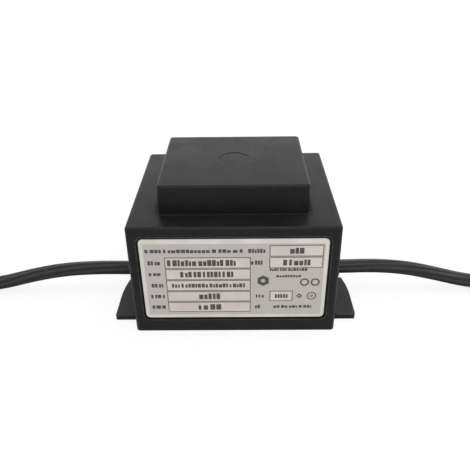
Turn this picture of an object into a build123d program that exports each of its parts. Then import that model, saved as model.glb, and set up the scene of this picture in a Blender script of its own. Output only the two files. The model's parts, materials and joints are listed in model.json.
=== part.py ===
from build123d import *
import math
import os

# A resin-potted mains transformer for low-voltage lamps. The origin is the centre of the base's underside.
# X runs from the input cord to the output cord, the label faces -Y and Z is up. Sizes are in millimetres.
os.makedirs("parts", exist_ok=True)

# Laminated core, lying flat with its legs along Y
core_length = 78.0
core_leg = 13.0
window_width = 13.0
window_length = 39.0
core_underside = 26.5
core_top_cover = 4.5
rivet_diameter = 4.5
rivet_head_diameter = 8.0
rivet_head_height = 1.6

# Split bobbin on the centre leg
bobbin_clearance = 0.3
bobbin_wall = 1.2
flange_thickness = 1.5
window_clearance = 0.4
rail_length = 40.0
rail_reach = 7.5
rail_height = 6.0
rail_rise = 1.2
rail_notch_width = 2.0
rail_notch_depth = 1.5
pin_pitch = 7.5
pin_diameter = 1.2
pin_reach = 6.0
pin_root = 3.0
primary_pin_columns = (-2, 0, 1)
secondary_pin_columns = (1, 2)
solder_rise = 1.5
solder_step = 0.3

# Windings, their tape and the thermal cut-out
winding_margin = 0.9
winding_corner = 5.0
tape_thickness = 0.3
primary_lead_diameter = 0.5
secondary_lead_diameter = 1.3
lead_gap = 0.1
lead_slot_width = 1.8
lead_offset = 2.2
lead_straight = 2.1
lead_drop = 1.0
cutout_length = 16.0
cutout_depth = 7.0
cutout_height = 3.2
cutout_corner = 0.8
cutout_setback = 9.5
cutout_lead_diameter = 1.0
cutout_lead_inset = 3.0
cutout_lead_straight = 3.2
cutout_lead_rise = 0.4

# Housing: a moulded cup with a raised block, drafted so that it leaves its mould
base_length = 100.0
base_depth = 87.0
shoulder_height = 60.0
block_length = 71.0
block_depth = 62.0
block_height = 15.0
wall = 2.0
draft = 0.5
corner_radius = 2.2
inner_corner_least = 1.0
block_corner_radius = 2.0
edge_radius = 1.2
foot_radius = 0.8
gate_mark_diameter = 16.0
gate_mark_depth = 0.15
resin_level = 1.0
rib_thickness = 1.6
rib_length = 20.0
rib_spacing = 36.0
rib_seat = 3.0
rib_clearance = 0.2

# Side flanges with an open screw slot
lug_reach = 12.0
lug_length = 70.0
lug_thickness = 3.0
lug_corner_radius = 1.0
lug_edge_radius = 0.5
flare_length = 38.0
flare_depth = 3.1
slot_width = 5.5
slot_inset = 6.0

# Rating label in its pocket
label_side_margin = 6.0
label_foot_margin = 8.2
label_head_margin = 6.2
label_corner = 2.2
label_thickness = 0.3
label_gap = 1.0
pocket_depth = 0.8
print_thickness = 0.1
label_divisions = 7
field_gap = 1.2
rule_width = 0.35

# Cords, their grommets and what holds them inside the wall
cord_diameter = 7.5
cord_across = -8.5
cord_height = 14.6
sheath_reach = 11.0
grommet_body_diameter = 11.0
grommet_flange_diameter = 14.0
grommet_flange_thickness = 1.6
clamp_width = 4.0
clamp_thickness = 1.4
clamp_head = 5.0
core_wire_diameter = 2.6
core_wire_spacing = 2.8

# Put-away coil of each cord, its tie and its bare end
coil_middle_radius = 37.5
lead_in_turn = 50.0
lead_in_left = 27.0
coil_end_angle = 130.0
end_notch_angle = 42.0
tie_thickness = 0.6
tie_width = 4.2
tie_place = 40.0
tie_head_width = 6.0
tie_head_height = 4.0
ferrule_diameter = 1.9
ferrule_length = 8.0
collar_diameter = 3.4
collar_length = 2.6

# Worked out from the sizes above
cord_radius = cord_diameter / 2
sheath_inside = base_length / 2 - sheath_reach
inner_corner = max(corner_radius - wall, inner_corner_least)
core_stack = shoulder_height - wall - core_top_cover - core_underside
core_depth = window_length + 2 * core_leg
centre_leg = core_length - 2 * core_leg - 2 * window_width
coil_height = core_underside + core_stack / 2
flange_half_x = centre_leg / 2 + window_width - window_clearance
flange_half_z = core_stack / 2 + window_width - window_clearance
bore_x = centre_leg + 2 * bobbin_clearance
bore_z = core_stack + 2 * bobbin_clearance
tube_x = bore_x + 2 * bobbin_wall
tube_z = bore_z + 2 * bobbin_wall
bobbin_half = window_length / 2 - bobbin_clearance
pin_row = bobbin_half + rail_reach / 2
winding_x = 2 * (flange_half_x - winding_margin)
winding_z = 2 * (flange_half_z - winding_margin)
winding_underside = coil_height - winding_z / 2
tape_underside = winding_underside - tape_thickness
rail_underside = winding_underside + rail_rise
solder_height = rail_underside - pin_reach + solder_rise
label_length = base_length - 2 * label_side_margin
label_height = shoulder_height - label_foot_margin - label_head_margin
label_middle = label_foot_margin + label_height / 2
row_pitch = label_height / label_divisions
total_height = shoulder_height + block_height
slot_centre = base_length / 2 + slot_inset
front = Plane(
    origin=(0, -base_depth / 2, 0),
    x_dir=(1, 0, 0),
    z_dir=(0, -math.cos(math.radians(draft)), math.sin(math.radians(draft))),
)


def across(y):
    """A plane across the winding's axis at this depth, facing the label, its middle on that axis."""
    return Plane(origin=(0, y, coil_height), x_dir=(1, 0, 0), z_dir=(0, -1, 0))


def arc_radii(points):
    """One radius for each corner of a route, as large as its two runs allow."""
    radii = []
    for before, corner, after in zip(points, points[1:], points[2:]):
        run_in = Vector(corner) - Vector(before)
        run_out = Vector(after) - Vector(corner)
        half_turn = math.radians(run_in.get_angle(run_out)) / 2
        radii.append(0.45 * min(run_in.length, run_out.length) / math.tan(half_turn))
    return radii


def wire_along(points, diameter):
    """A round wire or cord along straight runs that tangent arcs join."""
    with BuildPart() as wire:
        with BuildLine() as route:
            FilletPolyline(*points, radius=arc_radii(points))
        with BuildSketch(Plane(origin=points[0], z_dir=Vector(points[1]) - Vector(points[0]))):
            Circle(diameter / 2)
        sweep(path=route.wire())
    return wire


def polar(centre, radius, degrees):
    """A point at this radius and angle round a centre, in the plan."""
    turn = math.radians(degrees)
    return (centre[0] + radius * math.cos(turn), centre[1] + radius * math.sin(turn))


# Core: the E sheets carry the windings, and the I sheets close them
with BuildPart() as core_e_stack:
    with BuildSketch(Plane.XY.offset(core_underside)):
        with Locations((0, -core_leg / 2)):
            Rectangle(core_length, core_depth - core_leg)
        with GridLocations(centre_leg + window_width, 0, 2, 1):
            Rectangle(window_width, window_length, mode=Mode.SUBTRACT)
        with GridLocations(core_length - core_leg, 0, 2, 1):
            with Locations((0, core_leg / 2 - core_depth / 2)):
                Circle(rivet_diameter / 2, mode=Mode.SUBTRACT)
    extrude(amount=core_stack)
core_e_stack.part.label = "core_e_stack"
export_step(core_e_stack.part, "parts/core_e_stack.step")

with BuildPart() as core_i_stack:
    with BuildSketch(Plane.XY.offset(core_underside)):
        with Locations((0, core_depth / 2 - core_leg / 2)):
            Rectangle(core_length, core_leg)
            with GridLocations(core_length - core_leg, 0, 2, 1):
                Circle(rivet_diameter / 2, mode=Mode.SUBTRACT)
    extrude(amount=core_stack)
core_i_stack.part.label = "core_i_stack"
export_step(core_i_stack.part, "parts/core_i_stack.step")

with BuildPart() as core_rivets:
    with GridLocations(core_length - core_leg, core_depth - core_leg, 2, 2):
        with Locations((0, 0, coil_height)):
            Cylinder(rivet_diameter / 2, core_stack)
        for facing in (1, -1):
            with Locations((0, 0, coil_height + facing * (core_stack + rivet_head_height) / 2)):
                Cylinder(rivet_head_diameter / 2, rivet_head_height)
    chamfer(core_rivets.edges().filter_by(GeomType.CIRCLE).group_by(Axis.Z)[-1], rivet_head_height / 2)
    chamfer(core_rivets.edges().filter_by(GeomType.CIRCLE).group_by(Axis.Z)[0], rivet_head_height / 2)
core_rivets.part.label = "core_rivets"
export_step(core_rivets.part, "parts/core_rivets.step")

# Terminal pins, pressed into the bobbin's rails
pin_middle = rail_underside + (pin_root - pin_reach) / 2


def lead_x(column):
    """Where a winding's lead leaves its chamber, beside its pin."""
    return column * pin_pitch - lead_offset


def terminal_pins(columns, row):
    with BuildPart() as pins:
        with Locations([(column * pin_pitch, row, pin_middle) for column in columns]):
            Cylinder(pin_diameter / 2, pin_reach + pin_root)
    return pins


primary_pins = terminal_pins(primary_pin_columns, -pin_row)
primary_pins.part.label = "primary_pins"
export_step(primary_pins.part, "parts/primary_pins.step")

secondary_pins = terminal_pins(secondary_pin_columns, pin_row)
secondary_pins.part.label = "secondary_pins"
export_step(secondary_pins.part, "parts/secondary_pins.step")

# Bobbin: a square tube with an end flange, a middle flange and an end flange, and a rail at each end
with BuildPart() as bobbin:
    with BuildSketch(across(bobbin_half)):
        RectangleRounded(tube_x, tube_z, bobbin_wall)
    extrude(amount=2 * bobbin_half)
    for flange_back in (bobbin_half, flange_thickness / 2, flange_thickness - bobbin_half):
        with BuildSketch(across(flange_back)):
            RectangleRounded(2 * flange_half_x, 2 * flange_half_z, flange_thickness)
        extrude(amount=flange_thickness)
    for facing in (1, -1):
        with BuildSketch(Plane.XY.offset(rail_underside)):
            with Locations((0, facing * (bobbin_half + (rail_reach - flange_thickness) / 2))):
                Rectangle(rail_length, rail_reach + flange_thickness)
            with Locations((0, facing * (bobbin_half + rail_reach - rail_notch_depth / 2))):
                with GridLocations(pin_pitch, 0, 4, 1):
                    Rectangle(rail_notch_width, rail_notch_depth, mode=Mode.SUBTRACT)
        extrude(amount=rail_height)
    with BuildSketch(across(bobbin_half)):
        Rectangle(bore_x, bore_z)
    extrude(amount=2 * bobbin_half, mode=Mode.SUBTRACT)
    for row, columns in ((-1, primary_pin_columns[1:]), (1, secondary_pin_columns)):
        for column in columns:
            flange_middle = row * (bobbin_half - flange_thickness / 2)
            with Locations((lead_x(column), flange_middle, rail_underside - rail_height / 2)):
                Box(lead_slot_width, flange_thickness, rail_height, mode=Mode.SUBTRACT)
    add(primary_pins.part, mode=Mode.SUBTRACT)
    add(secondary_pins.part, mode=Mode.SUBTRACT)
bobbin.part.label = "bobbin"
export_step(bobbin.part, "parts/bobbin.step")

# Windings: each fills its half of the bobbin, under a wrap of tape
chamber = bobbin_half - 1.5 * flange_thickness


def winding(back):
    with BuildPart() as turns:
        with BuildSketch(across(back)):
            RectangleRounded(winding_x, winding_z, winding_corner)
            RectangleRounded(tube_x, tube_z, bobbin_wall, mode=Mode.SUBTRACT)
        extrude(amount=chamber)
    return turns


def tape_wrap(back):
    with BuildPart() as wrap:
        with BuildSketch(across(back)):
            RectangleRounded(
                winding_x + 2 * tape_thickness, winding_z + 2 * tape_thickness, winding_corner + tape_thickness
            )
            RectangleRounded(winding_x, winding_z, winding_corner, mode=Mode.SUBTRACT)
        extrude(amount=chamber)
    return wrap


primary_back = -flange_thickness / 2
secondary_back = flange_thickness / 2 + chamber

primary_winding = winding(primary_back)
primary_winding.part.label = "primary_winding"
export_step(primary_winding.part, "parts/primary_winding.step")

secondary_winding = winding(secondary_back)
secondary_winding.part.label = "secondary_winding"
export_step(secondary_winding.part, "parts/secondary_winding.step")

primary_tape = tape_wrap(primary_back)
primary_tape.part.label = "primary_tape"
export_step(primary_tape.part, "parts/primary_tape.step")

secondary_tape = tape_wrap(secondary_back)
secondary_tape.part.label = "secondary_tape"
export_step(secondary_tape.part, "parts/secondary_tape.step")

# Winding leads, through slots in the end flanges and under the rails to their pins


def winding_leads(columns, row, diameter, pins):
    height = rail_underside - lead_gap - diameter / 2
    with BuildPart() as leads:
        for column in columns:
            route = [
                (lead_x(column), row * (bobbin_half - flange_thickness), height),
                (lead_x(column), row * (bobbin_half - flange_thickness + lead_straight), height),
                (column * pin_pitch, row * pin_row, height - lead_drop),
            ]
            add(wire_along(route, diameter).part)
        add(pins.part, mode=Mode.SUBTRACT)
    return leads


primary_leads = winding_leads(primary_pin_columns[1:], -1, primary_lead_diameter, primary_pins)
primary_leads.part.label = "primary_leads"
export_step(primary_leads.part, "parts/primary_leads.step")

secondary_leads = winding_leads(secondary_pin_columns, 1, secondary_lead_diameter, secondary_pins)
secondary_leads.part.label = "secondary_leads"
export_step(secondary_leads.part, "parts/secondary_leads.step")

# Thermal cut-out under the primary winding, and its two leads
cutout_top = tape_underside
with BuildPart() as thermal_cutout:
    with Locations((0, -cutout_setback, cutout_top - cutout_height / 2)):
        Box(cutout_length, cutout_depth, cutout_height)
    fillet(thermal_cutout.edges().filter_by(Axis.X), cutout_corner)
thermal_cutout.part.label = "thermal_cutout"
export_step(thermal_cutout.part, "parts/thermal_cutout.step")

cutout_face = -cutout_setback - cutout_depth / 2
lead_height = cutout_top - cutout_height / 2
cutout_lead_x = cutout_length / 2 - cutout_lead_inset
lead_ends = ((-cutout_lead_x, primary_pin_columns[0]), (cutout_lead_x, primary_pin_columns[1]))
with BuildPart() as cutout_leads:
    for start, column in lead_ends:
        lead = wire_along(
            [
                (start, cutout_face, lead_height),
                (start, cutout_face - cutout_lead_straight, lead_height),
                (column * pin_pitch, -pin_row, lead_height + cutout_lead_rise),
            ],
            cutout_lead_diameter,
        )
        add(lead.part)
    add(primary_pins.part, mode=Mode.SUBTRACT)
cutout_leads.part.label = "cutout_leads"
export_step(cutout_leads.part, "parts/cutout_leads.step")

# Spacer ribs inside the housing: the core is set on their steps upside down before the resin is poured
core_top = core_underside + core_stack
rib_foot = shoulder_height - wall - rib_length
rib_root = (base_length - wall) / 2
rib_side = core_length / 2 + rib_clearance
rib_step = core_length / 2 - rib_seat
with BuildPart() as spacer_ribs:
    for row in (-1, 1):
        with BuildSketch(Plane.XZ.offset(row * rib_spacing / 2)):
            with BuildLine():
                Polyline(
                    (rib_root, rib_foot),
                    (rib_side + rib_seat, rib_foot),
                    (rib_side, rib_foot + rib_seat),
                    (rib_side, core_top),
                    (rib_step, core_top),
                    (rib_step, shoulder_height - wall / 2),
                    (rib_root, shoulder_height - wall / 2),
                    close=True,
                )
            make_face()
        extrude(amount=rib_thickness / 2, both=True)
    mirror(about=Plane.YZ)

# Housing
lug_half = lug_length / 2
flare_half = flare_length / 2
lug_edge = base_length / 2 + lug_reach
with BuildPart() as housing:
    with BuildSketch():
        RectangleRounded(base_length, base_depth, corner_radius)
    extrude(amount=shoulder_height, taper=draft)
    with BuildSketch(Plane.XY.offset(shoulder_height)):
        RectangleRounded(block_length, block_depth, block_corner_radius)
    extrude(amount=block_height, taper=draft)
    fillet(housing.faces().sort_by(Axis.Z)[-1].outer_wire().edges(), edge_radius)
    shoulder = housing.faces().filter_by(Axis.Z).sort_by(Axis.Z)[1]
    fillet(shoulder.outer_wire().edges(), edge_radius)
    shoulder = housing.faces().filter_by(Axis.Z).sort_by(Axis.Z)[1]
    fillet(shoulder.inner_wires()[0].edges(), foot_radius)
    for side in (1, -1):
        with BuildSketch() as lug_outline:
            with BuildLine():
                Polyline(
                    (side * lug_edge, -flare_half),
                    (side * lug_edge, -lug_half),
                    (side * (base_length / 2 - wall), -lug_half),
                    (side * (base_length / 2 - wall), lug_half),
                    (side * lug_edge, lug_half),
                    (side * lug_edge, flare_half),
                )
                flare_bottom = (side * (lug_edge - flare_depth), 0)
                TangentArc((side * lug_edge, -flare_half), flare_bottom, tangent=(0, 1))
                TangentArc((side * lug_edge, flare_half), flare_bottom, tangent=(0, -1))
            make_face()
            ends = lug_outline.vertices().group_by(Axis.X)[-1 if side > 0 else 0]
            fillet(ends.group_by(Axis.Y)[0] + ends.group_by(Axis.Y)[-1], lug_corner_radius)
            with Locations((side * slot_centre, 0)):
                Circle(slot_width / 2, mode=Mode.SUBTRACT)
            with Locations((side * (slot_centre + lug_reach / 2), 0)):
                Rectangle(lug_reach, slot_width, mode=Mode.SUBTRACT)
        extrude(amount=lug_thickness)
    lug_tops = housing.faces().filter_by(Axis.Z).filter_by_position(Axis.Z, lug_thickness, lug_thickness)
    for lug_top in lug_tops:
        rim = [edge for edge in lug_top.edges() if abs(edge.center().X) > base_length / 2 + lug_edge_radius]
        fillet(rim, lug_edge_radius)
    with BuildSketch():
        RectangleRounded(base_length - 2 * wall, base_depth - 2 * wall, inner_corner)
    extrude(amount=shoulder_height - wall, taper=draft, mode=Mode.SUBTRACT)
    with BuildSketch(Plane.XY.offset(shoulder_height - wall)):
        RectangleRounded(block_length - 2 * wall, block_depth - 2 * wall, block_corner_radius / 2)
    extrude(amount=block_height, taper=draft, mode=Mode.SUBTRACT)
    add(spacer_ribs.part)
    with BuildSketch(Plane.YZ):
        with Locations((cord_across, cord_height)):
            Circle(grommet_body_diameter / 2)
    extrude(amount=base_length, both=True, mode=Mode.SUBTRACT)
    with BuildSketch(front):
        with Locations((0, label_middle)):
            RectangleRounded(label_length + 2 * label_gap, label_height + 2 * label_gap, label_corner + label_gap)
    extrude(amount=-pocket_depth, mode=Mode.SUBTRACT)
    with BuildSketch(Plane.XY.offset(total_height)):
        Circle(gate_mark_diameter / 2)
    extrude(amount=-gate_mark_depth, mode=Mode.SUBTRACT)
housing.part.label = "housing"
export_step(housing.part, "parts/housing.step")

# Label, in the pocket
with BuildPart() as rating_label:
    with BuildSketch(front.offset(-pocket_depth)):
        with Locations((0, label_middle)):
            RectangleRounded(label_length, label_height, label_corner)
    extrude(amount=label_thickness)
rating_label.part.label = "rating_label"
export_step(rating_label.part, "parts/rating_label.step")

# Print on the label, as plain fields, bars and rules: (start, end, row, height). Rows count from the top, and
# distances across are from the label's left edge or, where negative, from its right edge.
field_height = row_pitch - field_gap
fields = [(11.8, -36.6, row, field_height) for row in (1, 2, 3, 4, 5)]
fields += [(-27.0, -2.8, row, field_height) for row in (0, 1)]
fields += [(-26.5, -16.2, 4, field_height)]
name_bars = [
    (3.4, -39.6, 0, 2.6),
    (3.4, 9.4, 1, 1.9),
    (3.4, 8.6, 2, 1.3),
    (3.4, 9.2, 3, 1.2),
    (3.4, 8.8, 4, 1.3),
    (3.4, 9.2, 5, 1.2),
    (-36.0, -29.4, 0, 1.5),
    (-34.8, -29.4, 1, 1.4),
    (-26.6, -9.2, 1.6, 1.4),
    (-22.2, -11.8, 2.2, 0.9),
    (-32.8, -27.6, 2.6, 5.9),
    (-32.8, -30.2, 4, 1.4),
    (-23.0, -13.6, 5, 2.2),
]
value_bars = [
    (15.0, -40.4, 1, 2.2),
    (18.0, -43.2, 2, 2.2),
    (14.0, -38.8, 3, 1.5),
    (27.4, -51.6, 4, 2.5),
    (26.8, -51.0, 5, 2.4),
    (-18.0, -10.6, 0, 2.0),
    (-19.6, -8.2, 1, 2.2),
    (-23.6, -18.8, 4, 1.8),
]
print_plane = front.offset(label_thickness - pocket_depth)


def across_label(distance):
    """The place across the label of a distance from its left edge or, where negative, from its right edge."""
    return distance - math.copysign(label_length / 2, distance)


def place_bars(bars, margin=0.0, mode=Mode.ADD):
    for start, end, row, height in bars:
        left = across_label(start) - margin
        right = across_label(end) + margin
        middle = label_foot_margin + label_height - (row + 1) * row_pitch
        with Locations(((left + right) / 2, middle)):
            Rectangle(right - left, height + 2 * margin, mode=mode)


with BuildPart() as label_fields:
    with BuildSketch(print_plane):
        place_bars(fields)
    extrude(amount=print_thickness)
label_fields.part.label = "label_fields"
export_step(label_fields.part, "parts/label_fields.step")

with BuildPart() as label_print:
    with BuildSketch(print_plane):
        place_bars(name_bars)
        place_bars(fields, rule_width)
        place_bars(fields, mode=Mode.SUBTRACT)
    extrude(amount=print_thickness)
label_print.part.label = "label_print"
export_step(label_print.part, "parts/label_print.step")

with BuildPart() as label_values:
    with BuildSketch(print_plane.offset(print_thickness)):
        place_bars(value_bars)
    extrude(amount=print_thickness)
label_values.part.label = "label_values"
export_step(label_values.part, "parts/label_values.step")

# Cord routes from inside the wall to where the put-away coil begins: (outwards, across, height)
input_route = [
    (sheath_inside, cord_across, cord_height),
    (56.0, cord_across, cord_height),
    (75.0, cord_across, 14.9),
    (94.0, cord_across, 13.7),
    (112.5, cord_across, 9.9),
    (130.5, -8.8, 4.9),
    (148.0, -10.5, cord_radius + tie_thickness),
]
output_route = [
    (sheath_inside, cord_across, cord_height),
    (57.0, cord_across, cord_height),
    (76.0, cord_across, 15.2),
    (94.0, cord_across, 13.5),
    (111.0, cord_across, 9.2),
    (128.0, -8.8, 4.7),
    (145.5, -10.5, cord_radius + tie_thickness),
]
last_run = 17.0
strand_low = cord_radius + tie_thickness
strand_high = strand_low + cord_diameter * math.sqrt(3) / 2
outer_turn = coil_middle_radius + cord_radius
inner_turn = coil_middle_radius - cord_radius

# The two insulated cores past the cut sheath: (along the cord, towards the coil's middle, height)
bare_floor = collar_diameter / 2
first_end = [
    (0.0, -core_wire_spacing / 2, strand_low),
    (7.5, -core_wire_spacing / 2, strand_low),
    (14.2, 5.2, 3.0),
    (18.5, 14.0, bare_floor),
    (20.0, 23.5, bare_floor),
]
second_end = [
    (0.0, core_wire_spacing / 2, strand_low),
    (7.0, core_wire_spacing / 2, strand_low),
    (12.0, 7.4, 3.0),
    (14.0, 16.5, bare_floor),
    (12.3, 26.0, bare_floor),
]


def mirrored(side, point):
    """A point given outwards from the housing, on the input side (-1) or the output side (1)."""
    return (side * point[0], point[1], point[2])


def put_away_coil(route):
    """Where a cord's coil lies, outwards: the free stretch's end, the lead-in's centre and the coil's centre."""
    heading = lead_in_left - lead_in_turn
    stop = polar(route[-1][:2], last_run, heading)
    bend = polar(stop, outer_turn, heading - 90)
    touch = polar(bend, outer_turn, 90 - lead_in_turn)
    return stop, bend, polar(touch, outer_turn, 90 - lead_in_turn)


def ring_plane(side, centre, degrees):
    """The upright plane through a coil's axis at this angle, its x outwards along the radius and its y up."""
    turn = math.radians(degrees)
    return Plane(
        origin=(side * centre[0], centre[1], 0),
        x_dir=(side * math.cos(turn), math.sin(turn), 0),
        z_dir=(math.sin(turn), -side * math.cos(turn), 0),
    )


def bundle_section(thickness):
    """The outline of the three turns' section, this much outside it."""
    with Locations((outer_turn, strand_low), (inner_turn, strand_low), (coil_middle_radius, strand_high)):
        Circle(cord_radius + thickness)
    make_hull()


def beside_sheath_end(side, centre, point):
    """A point of a bare end in the part's frame."""
    turn = math.radians(coil_end_angle)
    along, inwards, height = point
    outwards = centre[0] + (inner_turn - inwards) * math.cos(turn) - along * math.sin(turn)
    depth = centre[1] + (inner_turn - inwards) * math.sin(turn) + along * math.cos(turn)
    return (side * outwards, depth, height)


def ferrules(ends):
    """A crimped ferrule with its collar past each of these wires' ends."""
    with BuildPart() as pair:
        for points in ends:
            tip = Plane(origin=points[-1], z_dir=Vector(points[-1]) - Vector(points[-2]))
            with BuildSketch(tip):
                Circle(collar_diameter / 2)
            extrude(amount=collar_length, taper=8)
            with BuildSketch(tip):
                Circle(ferrule_diameter / 2)
            extrude(amount=collar_length + ferrule_length)
    return pair


inner_pieces = [
    core_e_stack,
    core_i_stack,
    core_rivets,
    bobbin,
    primary_pins,
    secondary_pins,
    primary_leads,
    secondary_leads,
    primary_winding,
    secondary_winding,
    primary_tape,
    secondary_tape,
    thermal_cutout,
    cutout_leads,
    spacer_ribs,
]
sides = (("input", -1, input_route, ("live", "neutral")), ("output", 1, output_route, ("first", "second")))
for name, side, free_route, wire_names in sides:
    stop, bend, centre = put_away_coil(free_route)
    points = [mirrored(side, point) for point in free_route + [(stop[0], stop[1], strand_low)]]

    cord = wire_along(points, cord_diameter)
    runs = sum((Vector(b) - Vector(a)).length for a, b in zip(points, points[1:]))
    swept = cord.part.volume / (math.pi * cord_radius**2)
    print(name, "cord radii", [round(radius, 1) for radius in arc_radii(points)])
    print(name, "cord runs", round(runs, 1), "mm, volume over section", round(swept, 1), "mm")
    cord.part.label = f"{name}_cord"
    export_step(cord.part, f"parts/{name}_cord.step")

    # Grommet, seated in the wall's hole, and the clamp behind it that takes a pull on the cord
    exit_plane = Plane(origin=(0, cord_across, cord_height), x_dir=(0, side, 0), z_dir=(side, 0, 0))
    grommet_back = base_length / 2 - wall - grommet_flange_thickness
    with BuildPart() as grommet:
        with BuildSketch(exit_plane.offset(grommet_back)):
            Circle(grommet_flange_diameter / 2)
        extrude(amount=wall + 2 * grommet_flange_thickness)
        fillet(grommet.edges().filter_by(GeomType.CIRCLE), grommet_flange_thickness / 3)
        add(housing.part, mode=Mode.SUBTRACT)
        add(cord.part, mode=Mode.SUBTRACT)
    grommet.part.label = f"{name}_grommet"
    export_step(grommet.part, f"parts/{name}_grommet.step")

    with BuildPart() as clamp:
        with BuildSketch(exit_plane.offset(grommet_back - clamp_width)):
            Circle(cord_radius + clamp_thickness)
            with Locations((0, cord_radius + clamp_head / 2)):
                Rectangle(clamp_head, clamp_head)
        extrude(amount=clamp_width)
        add(cord.part, mode=Mode.SUBTRACT)
    clamp.part.label = f"{name}_cord_clamp"
    export_step(clamp.part, f"parts/{name}_cord_clamp.step")

    # Coil: the outer shape of three turns, two on the surface and one on top, with the cord's way in
    # and a notch where the last turn's sheath ends
    axis = Axis((side * centre[0], centre[1], 0), (0, 0, 1))
    with BuildPart() as coil:
        with BuildSketch(ring_plane(side, centre, coil_end_angle)):
            bundle_section(0)
        revolve(axis=axis)
        with BuildSketch(ring_plane(side, centre, coil_end_angle)):
            with Locations((inner_turn, strand_low)):
                Rectangle(cord_diameter, 2 * strand_low)
        revolve(axis=axis, revolution_arc=side * end_notch_angle, mode=Mode.SUBTRACT)
        heading = math.radians(lead_in_left - lead_in_turn)
        with BuildSketch(Plane(origin=points[-1], z_dir=(side * math.cos(heading), math.sin(heading), 0))):
            Circle(cord_radius)
        revolve(axis=Axis((side * bend[0], bend[1], 0), (0, 0, -side)), revolution_arc=lead_in_left)
    coil.part.label = f"{name}_cord_coil"
    export_step(coil.part, f"parts/{name}_cord_coil.step")

    tie_half_angle = math.degrees(tie_width / 2 / coil_middle_radius)
    with BuildPart() as tie:
        with BuildSketch(ring_plane(side, centre, tie_place - tie_half_angle)):
            bundle_section(tie_thickness)
        revolve(axis=axis, revolution_arc=2 * side * tie_half_angle)
        with BuildSketch(ring_plane(side, centre, tie_place).offset(-tie_head_width / 2)):
            with Locations((coil_middle_radius, strand_high + cord_radius + tie_head_height / 2)):
                RectangleRounded(tie_head_width, tie_head_height, tie_thickness)
        extrude(amount=tie_head_width)
        add(coil.part, mode=Mode.SUBTRACT)
    tie.part.label = f"{name}_coil_tie"
    export_step(tie.part, f"parts/{name}_coil_tie.step")

    # Bare ends and their ferrules, inside the coil
    ends = []
    for wire_name, end_route in zip(wire_names, (first_end, second_end)):
        ends.append([beside_sheath_end(side, centre, point) for point in end_route])
        bare_end = wire_along(ends[-1], core_wire_diameter)
        bare_end.part.label = f"{name}_{wire_name}_end"
        export_step(bare_end.part, f"parts/{name}_{wire_name}_end.step")
    end_ferrules = ferrules(ends)
    end_ferrules.part.label = f"{name}_ferrules"
    export_step(end_ferrules.part, f"parts/{name}_ferrules.step")

    inner_pieces += [cord, grommet, clamp]

# Wires from the cut sheaths to the pins, below the core: (name, points, the pins they are soldered to)
near_core = cord_across - core_wire_spacing / 2
far_core = cord_across + core_wire_spacing / 2
inner_wires = (
    (
        "input_live_wire",
        [
            (-sheath_inside, near_core, cord_height),
            (-31.0, near_core, cord_height),
            (-25.5, -19.0, 11.8),
            (primary_pin_columns[0] * pin_pitch, -pin_row, solder_height),
        ],
    ),
    (
        "input_neutral_wire",
        [
            (-sheath_inside, far_core, cord_height),
            (-31.0, far_core, cord_height),
            (-21.0, -13.5, 8.6),
            (-2.0, -19.5, 8.4),
            (primary_pin_columns[2] * pin_pitch, -pin_row, solder_height - 2 * solder_step),
        ],
    ),
    (
        "output_first_wire",
        [
            (sheath_inside, near_core, cord_height),
            (31.0, near_core, cord_height),
            (24.0, -2.0, 9.0),
            (19.0, 13.0, 9.0),
            (secondary_pin_columns[0] * pin_pitch, pin_row, solder_height - solder_step),
        ],
    ),
    (
        "output_second_wire",
        [
            (sheath_inside, far_core, cord_height),
            (32.5, far_core, cord_height),
            (29.0, 5.0, 13.0),
            (26.0, 17.0, 11.6),
            (secondary_pin_columns[1] * pin_pitch, pin_row, solder_height),
        ],
    ),
)
for name, points in inner_wires:
    with BuildPart() as wire:
        add(wire_along(points, core_wire_diameter).part)
        add(primary_pins.part, mode=Mode.SUBTRACT)
        add(secondary_pins.part, mode=Mode.SUBTRACT)
    wire.part.label = name
    export_step(wire.part, f"parts/{name}.step")
    inner_pieces.append(wire)

# Potting resin: the housing's inside up to just short of its rim, round everything in it
with BuildPart() as potting_resin:
    with BuildSketch():
        RectangleRounded(base_length - 2 * wall, base_depth - 2 * wall, inner_corner)
    extrude(amount=shoulder_height - wall, taper=draft)
    with BuildSketch(Plane.XY.offset(shoulder_height - wall)):
        RectangleRounded(block_length - 2 * wall, block_depth - 2 * wall, block_corner_radius / 2)
    extrude(amount=block_height, taper=draft)
    with BuildSketch():
        Rectangle(base_length, base_depth)
    extrude(amount=resin_level, mode=Mode.SUBTRACT)
    for piece in inner_pieces:
        add(piece.part, mode=Mode.SUBTRACT)
potting_resin.part.label = "potting_resin"
export_step(potting_resin.part, "parts/potting_resin.step")
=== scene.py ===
import json
import math
import random

import bmesh
import bpy
from mathutils import Matrix, Vector


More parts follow.
